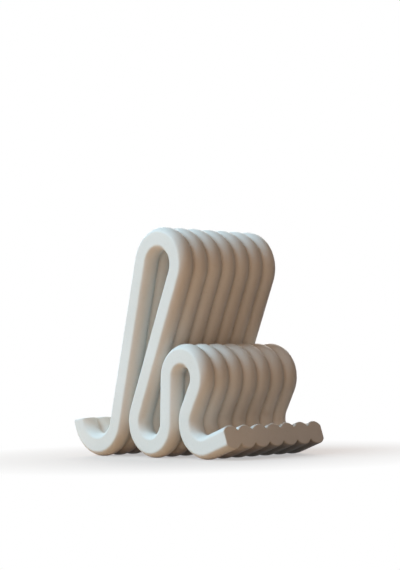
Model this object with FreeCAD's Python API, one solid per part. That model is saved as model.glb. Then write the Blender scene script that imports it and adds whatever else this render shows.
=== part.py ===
import FreeCAD, Part
import math
import os

os.makedirs("parts", exist_ok=True)

# Desktop phone stand, in mm: a ribbon of round ribs, folded into a wave. X runs across the ribs, the lip
# that holds the phone is at -Y, the tail at +Y, and the stand rests on Z = 0.

# Ribs
rib_count = 7
rib_radius = 4.92         # half the thickness of the ribbon
groove_depth = 2.05       # depth of the valleys between the ribs
side_round = 1.5          # between each flat side and its outer rib
end_bevel = 0.5           # round the lip and the tail end

# Inside radius of each fold, from front to rear
tray_inside = 8.0
back_inside = 6.2
middle_inside = 5.2
low_inside = 4.2
rear_inside = 5.0

# Heights of the two crests
back_height = 96.3
low_height = 47.0

# Places of the folds
tray_gap = 2.4            # open gap between the tray and the middle fold
fold_gap = 1.9            # open gap between the other neighbours
back_setback = 7.0        # tall crest behind the middle fold

# Free ends
lip_sweep = 80.0          # degrees of the tray in front of its lowest point
tail_rise = 18.8          # degrees above level
tail_length = 12.0

rib_pitch = 2 * math.sqrt(rib_radius**2 - (rib_radius - groove_depth) ** 2)
thickness = 2 * rib_radius
lip_angle = math.radians(lip_sweep)
tail_angle = math.radians(tail_rise)


# Unit vector in the plane of the wave
def along(heading):
    return FreeCAD.Vector(0, math.cos(heading), math.sin(heading))


# Radius of a fold of the centre line from its inside radius
def fold_radius(inside):
    return inside + rib_radius


# A trough turns up from Z = 0 and a crest turns down from its height
def trough(y, radius):
    return {"centre": FreeCAD.Vector(0, y, rib_radius + radius), "radius": radius, "turn": 1}


def crest(y, height, radius):
    return {"centre": FreeCAD.Vector(0, y, height - rib_radius - radius), "radius": radius, "turn": -1}


# Point of a fold where the centre line has the given heading
def on_fold(fold, heading):
    return fold["centre"] + along(heading - math.pi / 2) * (fold["turn"] * fold["radius"])


# Heading of the straight limb that touches two folds on opposite sides
def limb_heading(first, second):
    reach = second["centre"] - first["centre"]
    swing = math.asin((first["radius"] + second["radius"]) / reach.Length)
    return math.atan2(reach.z, reach.y) + first["turn"] * swing


# Folds from front to rear, measured along Y from the centre of the tray
tray = trough(0, fold_radius(tray_inside))
middle_radius = fold_radius(middle_inside)
middle = trough(tray["radius"] + middle_radius + thickness + tray_gap, middle_radius)
back = crest(middle["centre"].y + back_setback, back_height, fold_radius(back_inside))
rear_radius = fold_radius(rear_inside)
rear = trough(middle["centre"].y + middle_radius + rear_radius + thickness + fold_gap, rear_radius)

# The low crest stands off the sloping limb between the tall crest and the middle fold
slope = limb_heading(back, middle)
foot = on_fold(middle, slope)
low = crest(0, low_height, fold_radius(low_inside))
limb_y = foot.y + (low["centre"].z - foot.z) / math.tan(slope)
low["centre"].y = limb_y - (low["radius"] + thickness + fold_gap) / math.sin(slope)

folds = [tray, back, middle, low, rear]
headings = [-lip_angle]
for first, second in zip(folds, folds[1:]):
    headings.append(limb_heading(first, second))
headings.append(tail_angle)

# Centre line: an arc for each fold, with a straight limb to the next one, and the straight tail
path = []
for fold, enter, leave in zip(folds, headings, headings[1:]):
    start = on_fold(fold, enter)
    if path:
        path.append(Part.makeLine(end, start))
    end = on_fold(fold, leave)
    path.append(Part.Arc(start, on_fold(fold, (enter + leave) / 2), end).toShape())
lip_start = on_fold(tray, -lip_angle)
tail_end = end + along(tail_angle) * (tail_length - end_bevel)
path.append(Part.makeLine(end, tail_end))


# Outline of the ribbon, square to the centre line: overlapping round ribs between two flat sides
def section(centre, heading, inset):
    half_width = rib_count * rib_pitch / 2 - inset
    radius = rib_radius - inset
    corner = side_round - inset
    groove_angle = math.acos(rib_pitch / 2 / radius)
    side_angle = math.acos((rib_pitch / 2 - side_round) / (rib_radius - side_round))
    corner_height = (rib_radius - side_round) * math.sin(side_angle)
    up = along(heading + math.pi / 2)

    def point(across, height):
        return centre + FreeCAD.Vector(across, 0, 0) + up * height

    def arc(across, height, size, start, end):
        ends = []
        for angle in (start, (start + end) / 2, end):
            ends.append(point(across + size * math.cos(angle), height + size * math.sin(angle)))
        return Part.Arc(ends[0], ends[1], ends[2]).toShape()

    # Over the top from +X to -X and down the flat side, then the same underneath from -X to +X
    edges = []
    for side, turn in ((1, 0), (-1, math.pi)):
        corner_across = side * (half_width - corner)
        edges.append(arc(corner_across, side * corner_height, corner, turn, turn + side_angle))
        for number in range(rib_count):
            across = side * rib_pitch * ((rib_count - 1) / 2 - number)
            start = side_angle if number == 0 else groove_angle
            end = side_angle if number == rib_count - 1 else groove_angle
            edges.append(arc(across, 0, radius, turn + start, turn + math.pi - end))
        far = turn + math.pi
        edges.append(arc(-corner_across, side * corner_height, corner, far - side_angle, far))
        flat = -side * half_width
        edges.append(Part.makeLine(point(flat, side * corner_height), point(flat, -side * corner_height)))
    return Part.Wire(edges)


# Body swept along the centre line, with a bevelled cap on the lip and on the tail
lip_outline = section(lip_start, -lip_angle, 0)
lip_tip = section(lip_start - along(-lip_angle) * end_bevel, -lip_angle, end_bevel)
tail_outline = section(tail_end, tail_angle, 0)
tail_tip = section(tail_end + along(tail_angle) * end_bevel, tail_angle, end_bevel)
body = Part.Wire(path).makePipeShell([lip_outline], True, False)
lip_cap = Part.makeLoft([lip_tip, lip_outline], True, True)
tail_cap = Part.makeLoft([tail_outline, tail_tip], True, True)
stand = body.fuse([lip_cap, tail_cap]).Solids[0]

# The origin lies midway between the lip and the tail
extent = stand.optimalBoundingBox(False, False)
stand.translate(FreeCAD.Vector(0, -(extent.YMin + extent.YMax) / 2, 0))

stand.exportStep("parts/wave_stand.step")
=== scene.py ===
# %% [markdown]
# # Desktop phone stand
# The stand is one moulded piece: a ribbon of seven round ribs, folded into a wave. This notebook loads the
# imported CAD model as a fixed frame, sweeps a smooth visual body over it, gives it a matte off-white
# finish and sets it on a pale floor. Lengths are in metres, and the part stands on z = 0.

# %% Load the frame
import math

import bmesh
import bpy
from mathutils import Matrix, Vector


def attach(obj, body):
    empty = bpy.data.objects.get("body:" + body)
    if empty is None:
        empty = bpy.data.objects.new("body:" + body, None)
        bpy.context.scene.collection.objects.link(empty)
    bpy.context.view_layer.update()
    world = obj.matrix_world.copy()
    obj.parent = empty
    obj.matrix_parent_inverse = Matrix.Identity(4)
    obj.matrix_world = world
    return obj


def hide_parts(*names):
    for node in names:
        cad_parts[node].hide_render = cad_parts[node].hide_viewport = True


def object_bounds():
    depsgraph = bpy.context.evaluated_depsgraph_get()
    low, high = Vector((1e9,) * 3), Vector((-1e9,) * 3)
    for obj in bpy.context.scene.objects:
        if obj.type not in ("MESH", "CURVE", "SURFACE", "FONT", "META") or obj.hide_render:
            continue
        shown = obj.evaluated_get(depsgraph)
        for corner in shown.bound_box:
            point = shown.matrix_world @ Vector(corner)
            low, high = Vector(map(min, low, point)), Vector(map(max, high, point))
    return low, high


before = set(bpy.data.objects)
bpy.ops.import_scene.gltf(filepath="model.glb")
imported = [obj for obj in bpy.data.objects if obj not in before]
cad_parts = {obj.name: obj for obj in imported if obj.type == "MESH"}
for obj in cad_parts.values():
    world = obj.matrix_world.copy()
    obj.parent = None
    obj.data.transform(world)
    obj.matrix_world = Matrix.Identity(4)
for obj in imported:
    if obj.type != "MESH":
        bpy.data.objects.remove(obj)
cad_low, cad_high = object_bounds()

print("CAD box:", [round(side, 4) for side in (*cad_low, *cad_high)])

# %% [markdown]
# ## The wave
# Seen from the side, the ribbon's centre line is a row of arcs joined by straight limbs. Troughs turn up
# from the floor and crests turn down from their own heights. It could be drawn as a Bezier curve, but
# arcs and their common tangents are what the real profile is made of, so each fold is kept as a centre,
# a radius and the way it turns, and the headings of the limbs between them follow from geometry.

# %% Sizes of the wave
millimetre = 0.001
rib_count = 7
rib_radius = 4.92 * millimetre
thickness = 2 * rib_radius
half_width = cad_high.x
rib_pitch = 2 * half_width / rib_count

# Radius of the centre line in each fold, worked out from the inside radius
tray_radius = 8.0 * millimetre + rib_radius
back_radius = 6.2 * millimetre + rib_radius
middle_radius = 5.2 * millimetre + rib_radius
low_radius = 4.2 * millimetre + rib_radius
rear_radius = 5.0 * millimetre + rib_radius

low_height = 47.0 * millimetre
tray_gap = 2.4 * millimetre
fold_gap = 1.9 * millimetre
back_setback = 7.0 * millimetre
lip_angle = math.radians(80.0)
tail_angle = math.radians(18.8)
tail_length = 12.0 * millimetre
end_round = 0.5 * millimetre
print("rib pitch in mm:", round(rib_pitch / millimetre, 2))


# %% Troughs and the tall crest
def trough(y, radius):
    """A fold that turns up from the floor."""
    return {"centre": Vector((0, y, rib_radius + radius)), "radius": radius, "turn": 1}


def crest(y, height, radius):
    """A fold that turns down from its height."""
    return {"centre": Vector((0, y, height - rib_radius - radius)), "radius": radius, "turn": -1}


tray = trough(cad_low.y + (tray_radius + rib_radius) * math.sin(lip_angle), tray_radius)
middle = trough(tray["centre"].y + tray_radius + middle_radius + thickness + tray_gap, middle_radius)
back = crest(middle["centre"].y + back_setback, cad_high.z, back_radius)
rear = trough(middle["centre"].y + middle_radius + rear_radius + thickness + fold_gap, rear_radius)
print("troughs at y in mm:", [round(fold["centre"].y / millimetre, 1) for fold in (tray, middle, rear)])


# %% The low crest, beside the sloping limb
def along(heading):
    """Unit vector in the plane of the wave."""
    return Vector((0, math.cos(heading), math.sin(heading)))


def on_fold(fold, heading):
    """Point of a fold where the centre line has the given heading."""
    return fold["centre"] + along(heading - math.pi / 2) * (fold["turn"] * fold["radius"])


def limb_heading(first, second):
    """Heading of the straight limb that touches two folds on opposite sides."""
    reach = second["centre"] - first["centre"]
    swing = math.asin((first["radius"] + second["radius"]) / reach.length)
    return math.atan2(reach.z, reach.y) + first["turn"] * swing


slope = limb_heading(back, middle)
foot = on_fold(middle, slope)
low = crest(0, low_height, low_radius)
limb_y = foot.y + (low["centre"].z - foot.z) / math.tan(slope)
low["centre"].y = limb_y - (low_radius + thickness + fold_gap) / math.sin(slope)
print("low crest at y in mm:", round(low["centre"].y / millimetre, 1))

# %% Headings along the wave
folds = [tray, back, middle, low, rear]

# The lip goes one rounding past its angle, as the cap of the CAD model does
headings = [-lip_angle - end_round / tray_radius]
headings += [limb_heading(first, second) for first, second in zip(folds, folds[1:])]
headings.append(tail_angle)
print("headings in degrees:", [round(math.degrees(heading), 1) for heading in headings])

# %% [markdown]
# ## The ribbed outline
# Cut across, the ribbon is a row of overlapping circles with soft valleys between them and a flat on each
# side. Seven cylinders could be joined by a boolean, but their seams would be hard to round. A single
# vertex is enough to draw the outline: spinning the vertex about a centre leaves an arc behind, as a pair
# of compasses does, and extruding it leaves a straight line. The outline starts at the foot of one flat,
# goes over the top to the other side and comes back underneath.

# %% A pen for arcs and lines
def draw_arc(ribbon, pen, across, height, angle, steps):
    """Spin the pen about a point of the outline's plane and return it at the far end of the arc."""
    drawn = bmesh.ops.spin(
        ribbon, geom=[pen], cent=(across, 0, height), axis=(0, -1, 0), angle=angle, steps=steps
    )
    return [item for item in drawn["geom_last"] if isinstance(item, bmesh.types.BMVert)][0]


def draw_line(ribbon, pen, vector):
    """Extrude the pen along a vector and return it at the far end."""
    drawn = bmesh.ops.extrude_vert_indiv(ribbon, verts=[pen])
    bmesh.ops.translate(ribbon, verts=drawn["verts"], vec=vector)
    return drawn["verts"][0]


# %% Arcs of the outline
groove_radius = 0.35 * millimetre
side_round = 1.5 * millimetre
flat_margin = 0.2 * millimetre
rib_steps = 12
groove_steps = 5
corner_steps = 6

side_angle = math.acos((rib_pitch / 2 - side_round) / (rib_radius - side_round))
corner_height = (rib_radius - side_round) * math.sin(side_angle)
groove_angle = math.acos(rib_pitch / 2 / (rib_radius + groove_radius))
groove_height = (rib_radius + groove_radius) * math.sin(groove_angle)
groove_turn = 2 * groove_angle - math.pi
print("height of the flats in mm:", round(2 * corner_height / millimetre, 2))


# %% Draw the outline
def draw_half(ribbon, pen, side):
    """One flat and the ribs beyond it: over the top for side 1, underneath for side -1."""
    # The short margins at the ends of the flat keep the shading of its corners off it
    for length in (flat_margin, 2 * corner_height - 2 * flat_margin, flat_margin):
        pen = draw_line(ribbon, pen, (0, 0, side * length))
    corner_across = side * (half_width - side_round)
    pen = draw_arc(ribbon, pen, corner_across, side * corner_height, side_angle, corner_steps)
    for number in range(rib_count):
        across = side * rib_pitch * ((rib_count - 1) / 2 - number)
        start = side_angle if number == 0 else groove_angle
        end = side_angle if number == rib_count - 1 else groove_angle
        pen = draw_arc(ribbon, pen, across, 0, math.pi - start - end, rib_steps)
        if number < rib_count - 1:
            groove_across = across - side * rib_pitch / 2
            pen = draw_arc(ribbon, pen, groove_across, side * groove_height, groove_turn, groove_steps)
    return draw_arc(ribbon, pen, -corner_across, side * corner_height, side_angle, corner_steps)


merge_distance = 0.01 * millimetre
ribbon = bmesh.new()
groove = ribbon.verts.layers.float.new("groove")
start_vertex = ribbon.verts.new((half_width, 0, -corner_height))
lower_start = draw_half(ribbon, start_vertex, 1)
draw_half(ribbon, lower_start, -1)
bmesh.ops.remove_doubles(ribbon, verts=ribbon.verts, dist=merge_distance)
print("outline vertices and edges:", len(ribbon.verts), len(ribbon.edges))

# %% [markdown]
# The valleys gather dust and stay out of the light, and the finish paints both the dust and that shade into
# them, so it has to find them later. An ambient occlusion node could look for them, but it would darken the
# folds as well. Each vertex of the outline therefore carries a number called groove, from 0 on the crown of
# a rib to 1 at the bottom of a valley. The sweep copies it to every ring that it makes.

# %% Mark the valleys
valley_depth = rib_radius - groove_height + groove_radius
for vertex in ribbon.verts:
    between_ribs = abs(vertex.co.x) < half_width - rib_pitch / 2
    vertex[groove] = (rib_radius - abs(vertex.co.z)) / valley_depth if between_ribs else 0
print("deepest valley mark:", round(max(vertex[groove] for vertex in ribbon.verts), 2))

# %% [markdown]
# ## Folding the ribbon
# The ribs keep their size all the way round every fold. A curve object with the outline as its bevel could
# carry it along, but its rings would only be as round as the curve's own sampling. A spin turns the
# outline about the true axis of each fold, and with no angle and a step along the limb the same operator
# sweeps the straight stretches, so two short functions make the whole body.

# %% Sweep a fold or a limb
fold_step = math.radians(5)
limb_step = 4 * millimetre


def sweep_fold(ribbon, ring, fold, angle):
    """Turn a ring of the outline about the axis of a fold and return its last copy."""
    steps = math.ceil(abs(angle) / fold_step)
    swept = bmesh.ops.spin(ribbon, geom=ring, cent=fold["centre"], axis=(1, 0, 0), angle=angle, steps=steps)
    return swept["geom_last"]


def sweep_limb(ribbon, ring, vector):
    """Carry a ring of the outline along a limb and return its last copy."""
    steps = math.ceil(vector.length / limb_step)
    swept = bmesh.ops.spin(ribbon, geom=ring, axis=(1, 0, 0), angle=0, dvec=vector / steps, steps=steps)
    return swept["geom_last"]


# %% Fold the ribbon from the lip to the tail
lip_place = Matrix.Translation(on_fold(tray, headings[0])) @ Matrix.Rotation(headings[0], 4, "X")
bmesh.ops.transform(ribbon, matrix=lip_place, verts=ribbon.verts)
lip_rim = ribbon.edges[:]
ring = ribbon.verts[:] + lip_rim
for number, fold in enumerate(folds):
    heading = headings[number + 1]
    ring = sweep_fold(ribbon, ring, fold, heading - headings[number])
    if fold is rear:
        limb = along(tail_angle) * tail_length
    else:
        limb = on_fold(folds[number + 1], heading) - on_fold(fold, heading)
    ring = sweep_limb(ribbon, ring, limb)
tail_rim = [item for item in ring if isinstance(item, bmesh.types.BMEdge)]
print("swept faces:", len(ribbon.faces))

# %% [markdown]
# ## The two ends
# The lip and the tail end in flat faces with a scalloped edge, which the mould leaves slightly rounded. A
# Bevel modifier could round every sharp edge, but it would need an angle that spares the valleys. Here one
# face fills each rim, a bevel rounds just that rim, and a narrow inset keeps the rounding's shading off
# the flat.

# %% Close and round the ends
end_segments = 4
shading_margin = 0.15 * millimetre
for rim in (lip_rim, tail_rim):
    bmesh.ops.contextual_create(ribbon, geom=rim)
bmesh.ops.bevel(
    ribbon, geom=lip_rim + tail_rim, offset=end_round, offset_type="OFFSET", segments=end_segments,
    profile=0.5, affect="EDGES", clamp_overlap=False, material=-1,
)

# Only the two end faces have more than four corners
end_faces = [face for face in ribbon.faces if len(face.verts) > 4]
bmesh.ops.inset_individual(ribbon, faces=end_faces, thickness=shading_margin)
for vertex in {vertex for face in end_faces for vertex in face.verts}:
    vertex[groove] = 0
bmesh.ops.recalc_face_normals(ribbon, faces=ribbon.faces)
print("end faces:", len(end_faces), "open edges:", sum(edge.is_boundary for edge in ribbon.edges))

# %% [markdown]
# ## The body in the frame
# The stand is one rigid piece, and nothing on it moves. The finished bmesh becomes a smooth mesh object,
# which takes the place of the CAD node and rides on the root body; the finish below is added to its mesh.
# The CAD node could be shown as it is, but its valleys are sharp and its rounds are facets.

# %% Put the body in the frame
for face in ribbon.faces:
    face.smooth = True
body_mesh = bpy.data.meshes.new("wave_body")
ribbon.to_mesh(body_mesh)
ribbon.free()
wave_body = bpy.data.objects.new("wave_body", body_mesh)
bpy.context.scene.collection.objects.link(wave_body)
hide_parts("wave_stand")
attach(wave_body, "root")
print("body faces:", len(body_mesh.polygons))

# %% [markdown]
# ## The finish
# The stand has a smooth matte skin, a warm off-white. A single colour would look like paper, so the finish
# is built up as a painter would: a broad drift between two close tones, a fine mineral fleck, a little
# dust and painted shade in the valleys, and rubbed spots where the troughs touch the ground. Everything is
# read from the object's own coordinates or from the groove mark, so the pattern stays put when the camera
# moves.

# %% Helpers for colours and nodes
def tone(red, green, blue):
    """A screen colour, 0 to 255, as the linear colour that a shader takes."""
    def linear(level):
        level /= 255
        return level / 12.92 if level <= 0.04045 else ((level + 0.055) / 1.055) ** 2.4
    return (linear(red), linear(green), linear(blue), 1)


def add_node(tree, kind, inputs=None, **settings):
    """A new node with its settings and the fixed values of its inputs."""
    node = tree.nodes.new(kind)
    for name, value in settings.items():
        setattr(node, name, value)
    for name, value in (inputs or {}).items():
        node.inputs[name].default_value = value
    return node


def feed(tree, socket, value):
    """Link an output to a socket, or set a fixed number or colour on it."""
    if isinstance(value, bpy.types.NodeSocket):
        tree.links.new(value, socket)
    else:
        socket.default_value = value


# %% Helpers for blends, ranges and sums
def add_mix(tree, factor, first, second):
    """Blend two colours by a factor. A Mix node numbers its colour sockets 6 and 7, and 2 for the result."""
    node = add_node(tree, "ShaderNodeMix", data_type="RGBA")
    for number, value in ((0, factor), (6, first), (7, second)):
        feed(tree, node.inputs[number], value)
    return node.outputs[2]


def add_range(tree, value, low, high, to_low=0, to_high=1):
    """Map the range from low to high onto the range from to_low to to_high."""
    limits = {"From Min": low, "From Max": high, "To Min": to_low, "To Max": to_high}
    node = add_node(tree, "ShaderNodeMapRange", limits)
    feed(tree, node.inputs["Value"], value)
    return node.outputs["Result"]


def add_math(tree, operation, first, second):
    """Join two numbers by an operation."""
    node = add_node(tree, "ShaderNodeMath", operation=operation)
    for socket, value in zip(node.inputs, (first, second)):
        feed(tree, socket, value)
    return node.outputs["Value"]


# %% Patterns of the skin
drift_scale = 38
fleck_scale = 900
grain_scale = 2600

finish = bpy.data.materials.new("matte_off_white")
finish.use_nodes = True
skin = finish.node_tree
shader = skin.nodes["Principled BSDF"]
skin_place = add_node(skin, "ShaderNodeTexCoord").outputs["Object"]


def add_noise(tree, place, scale, detail, roughness=0.5):
    """A soft random pattern, finer for a larger scale."""
    node = add_node(tree, "ShaderNodeTexNoise", {"Scale": scale, "Detail": detail, "Roughness": roughness})
    tree.links.new(place, node.inputs["Vector"])
    return node.outputs["Fac"]


drift = add_noise(skin, skin_place, drift_scale, detail=3)
fleck = add_noise(skin, skin_place, fleck_scale, detail=2, roughness=0.6)
grain = add_noise(skin, skin_place, grain_scale, detail=2)
valley_mark = add_node(skin, "ShaderNodeAttribute", attribute_name="groove").outputs["Fac"]
skin_axes = add_node(skin, "ShaderNodeSeparateXYZ")
skin.links.new(skin_place, skin_axes.inputs["Vector"])
print("pattern nodes:", len(skin.nodes))

# %% Drift and fleck
off_white = tone(227, 224, 218)
warm_white = tone(223, 219, 212)
fleck_tone = tone(205, 198, 186)
fleck_strength = 0.22

drift_blend = add_range(skin, drift, low=0.35, high=0.65)
colour = add_mix(skin, drift_blend, off_white, warm_white)
fleck_blend = add_range(skin, fleck, low=0.58, high=0.75, to_high=fleck_strength)
colour = add_mix(skin, fleck_blend, colour, fleck_tone)
print("off-white as a linear colour:", [round(level, 3) for level in off_white])

# %% Dust and painted shade in the valleys, and rubbed feet
dust_and_shade_tone = tone(176, 160, 140)
dust_and_shade_strength = 0.3
rubbed_tone = tone(170, 164, 156)
rubbed_height = 0.6 * millimetre

# Painted shade: the valleys are darkened towards this tone, partly as dust and partly as the shade that
# falls in them.
valley_dust_and_shade = add_range(skin, valley_mark, low=0.55, high=1, to_high=dust_and_shade_strength)
patchy_dust_and_shade = add_range(skin, drift, low=0.3, high=0.7, to_low=0.6)
colour = add_mix(skin, add_math(skin, "MULTIPLY", valley_dust_and_shade, patchy_dust_and_shade), colour, dust_and_shade_tone)
foot_mark = add_range(skin, skin_axes.outputs["Z"], low=0, high=rubbed_height, to_low=1, to_high=0)
patchy_rub = add_range(skin, fleck, low=0.4, high=0.6, to_low=0.1, to_high=0.5)
colour = add_mix(skin, add_math(skin, "MULTIPLY", foot_mark, patchy_rub), colour, rubbed_tone)
skin.links.new(colour, shader.inputs["Base Color"])
print("colour nodes:", len(skin.nodes))

# %% Roughness and grain of the skin
least_roughness = 0.56
most_roughness = 0.68
dust_roughness = 0.12
skin_gloss = 0.4
grain_height = 0.06 * millimetre
grain_strength = 0.25

rough = add_range(skin, fleck, low=0.3, high=0.7, to_low=least_roughness, to_high=most_roughness)
rough = add_math(skin, "ADD", rough, add_math(skin, "MULTIPLY", valley_mark, dust_roughness))
skin.links.new(rough, shader.inputs["Roughness"])
shader.inputs["Specular IOR Level"].default_value = skin_gloss
bump = add_node(skin, "ShaderNodeBump", {"Strength": grain_strength, "Distance": grain_height})
skin.links.new(grain, bump.inputs["Height"])
skin.links.new(bump.outputs["Normal"], shader.inputs["Normal"])
body_mesh.materials.append(finish)
print("finish nodes:", len(skin.nodes))

# %% [markdown]
# ## The floor
# The stand is shown on a pale studio floor that fades to white. A large disc gives the shadow something to
# fall on. Near the stand it is a plain pale tone, and further out a white glow takes over, for direct views
# and reflections only, so no edge of the disc can be seen. Light that bounces from it meets a warm tone
# instead, which gives the undersides their warm shade. This bounce tone carries painted light and painted
# shade: bright on the window's side, and nearly black below and behind, where the stand is in its own
# shade. A low lamp could warm the undersides too, but it would light the flats as well.

# %% The floor's disc
floor_radius = 3.0
floor_sides = 96
floor_bmesh = bmesh.new()
bmesh.ops.create_circle(floor_bmesh, cap_ends=True, segments=floor_sides, radius=floor_radius)
floor_mesh = bpy.data.meshes.new("studio_floor")
floor_bmesh.to_mesh(floor_mesh)
floor_bmesh.free()
studio_floor = bpy.data.objects.new("studio_floor", floor_mesh)
bpy.context.scene.collection.objects.link(studio_floor)
print("floor radius:", floor_radius)


# %% Tones of the floor
def seen_directly(tree):
    """1 for rays that show a surface as it is: camera, glossy and transmission rays."""
    path = add_node(tree, "ShaderNodeLightPath")
    seen = add_math(tree, "MAXIMUM", path.outputs["Is Camera Ray"], path.outputs["Is Glossy Ray"])
    return add_math(tree, "MAXIMUM", seen, path.outputs["Is Transmission Ray"])


pale_tone = (0.64, 0.52, 0.46, 1)
# Painted light and painted shade, seen by bounced light only: a bright warm tone on the window's side and a
# nearly black one below and behind the stand.
painted_light_bounce = (0.78, 0.44, 0.25, 1)
painted_shade_bounce = (0.03, 0.015, 0.01, 1)
shade_width = 35 * millimetre

pale_floor = bpy.data.materials.new("pale_floor")
pale_floor.use_nodes = True
paint = pale_floor.node_tree
matte = paint.nodes["Principled BSDF"]
matte.inputs["Roughness"].default_value = 0.9
matte.inputs["Specular IOR Level"].default_value = 0.1
seen = seen_directly(paint)
floor_place = add_node(paint, "ShaderNodeTexCoord").outputs["Object"]
floor_axes = add_node(paint, "ShaderNodeSeparateXYZ")
paint.links.new(floor_place, floor_axes.inputs["Vector"])
# The painted shade turns into the painted light across this width along x.
painted_light_side = add_range(paint, floor_axes.outputs["X"], low=0, high=shade_width)
painted_bounce = add_mix(paint, painted_light_side, painted_shade_bounce, painted_light_bounce)
paint.links.new(add_mix(paint, seen, painted_bounce, pale_tone), matte.inputs["Base Color"])
print("tone nodes:", len(paint.nodes))

# %% Fade the floor to white
white = (1, 1, 1, 1)
fade_start = 45 * millimetre
fade_end = 130 * millimetre
least_white = 0.45

distance = add_node(paint, "ShaderNodeVectorMath", operation="LENGTH")
paint.links.new(floor_place, distance.inputs[0])
fade = add_range(paint, distance.outputs["Value"], low=fade_start, high=fade_end, to_low=least_white)
glow = add_node(paint, "ShaderNodeEmission", {"Color": white, "Strength": 1})
blend = add_node(paint, "ShaderNodeMixShader")
paint.links.new(add_math(paint, "MULTIPLY", fade, seen), blend.inputs["Fac"])
paint.links.new(matte.outputs["BSDF"], blend.inputs[1])
paint.links.new(glow.outputs["Emission"], blend.inputs[2])
paint.links.new(blend.outputs["Shader"], paint.nodes["Material Output"].inputs["Surface"])
floor_mesh.materials.append(pale_floor)
print("floor nodes:", len(paint.nodes))

# %% [markdown]
# ## Light
# A large soft lamp high on the left of the camera, cool as a window is, gives the near flats their
# brightness, so the ribs behind fall into shade. A dim warm lamp, low on the camera's side, reaches into
# the loops, and a third, nearly white, lights the front and the far flats, so the stand looks off-white
# from those sides too. The world adds the warm light of a room from all round, which softens the shade on
# the ribs, while the camera sees it as plain white. One even ring of lamps would be simpler, but it would
# flatten the ribs.

# %% Room
room_tone = (1.0, 0.68, 0.48, 1)
room_strength = 0.16

room = bpy.data.worlds.new("studio_room")
room.use_nodes = True
bpy.context.scene.world = room
air = room.node_tree
ambient = air.nodes["Background"]
ambient.inputs["Color"].default_value = room_tone
ambient.inputs["Strength"].default_value = room_strength
backdrop = add_node(air, "ShaderNodeBackground", {"Color": white, "Strength": 1})
choice = add_node(air, "ShaderNodeMixShader")
air.links.new(seen_directly(air), choice.inputs["Fac"])
air.links.new(ambient.outputs["Background"], choice.inputs[1])
air.links.new(backdrop.outputs["Background"], choice.inputs[2])
air.links.new(choice.outputs["Shader"], air.nodes["World Output"].inputs["Surface"])
print("room light:", room_strength)

# %% Lamps
lamp_aim = Vector((0, 0, 0.04))
lamp_distance = 3.0


def add_lamp(name, turn, height, watts, size, colour):
    """A square soft lamp, aimed at the stand from a turn about z and a height above level, in degrees."""
    data = bpy.data.lights.new(name, "AREA")
    data.energy = watts
    data.size = size
    data.color = colour
    level = math.radians(height)
    side = math.radians(turn)
    reach = Vector((math.cos(side) * math.cos(level), math.sin(side) * math.cos(level), math.sin(level)))
    aimed = reach.to_track_quat("Z", "Y").to_matrix().to_4x4()
    lamp = bpy.data.objects.new(name, data)
    lamp.matrix_world = Matrix.Translation(lamp_aim + reach * lamp_distance) @ aimed
    bpy.context.scene.collection.objects.link(lamp)
    print(name, "at", [round(place, 3) for place in lamp.matrix_world.translation])


add_lamp("window_lamp", turn=-30, height=40, watts=119, size=2.2, colour=(0.49, 0.79, 1.0))
add_lamp("side_lamp", turn=34, height=20, watts=11.5, size=1.5, colour=(1.0, 0.71, 0.50))
add_lamp("far_lamp", turn=224, height=14, watts=90, size=2.2, colour=(1.0, 0.97, 0.94))

# %% [markdown]
# ## Camera
# The picture is taken from behind the stand and to one side, from just above the floor, with a long lens.
# A Track To constraint could aim the camera, but it can't hold a roll, so its place, its turn about the
# vertical, its small upward tilt and its slight roll are set directly.

# %% Camera
camera_place = Vector((0.42507, 0.47264, 0.03333))
camera_turn = math.radians(137.70)
camera_tilt = math.radians(3.578)
camera_roll = math.radians(-1.344)

camera_data = bpy.data.cameras.new("camera")
camera_data.sensor_fit = "VERTICAL"
camera_data.sensor_height = 36
camera_data.lens = 92.8
camera = bpy.data.objects.new("camera", camera_data)
camera.matrix_world = (
    Matrix.Translation(camera_place)
    @ Matrix.Rotation(camera_turn, 4, "Z")
    @ Matrix.Rotation(math.pi / 2 + camera_tilt, 4, "X")
    @ Matrix.Rotation(camera_roll, 4, "Z")
)
bpy.context.scene.collection.objects.link(camera)
bpy.context.scene.camera = camera
bpy.context.scene.view_settings.view_transform = "Standard"
print("camera distance:", round(camera_place.length, 3))
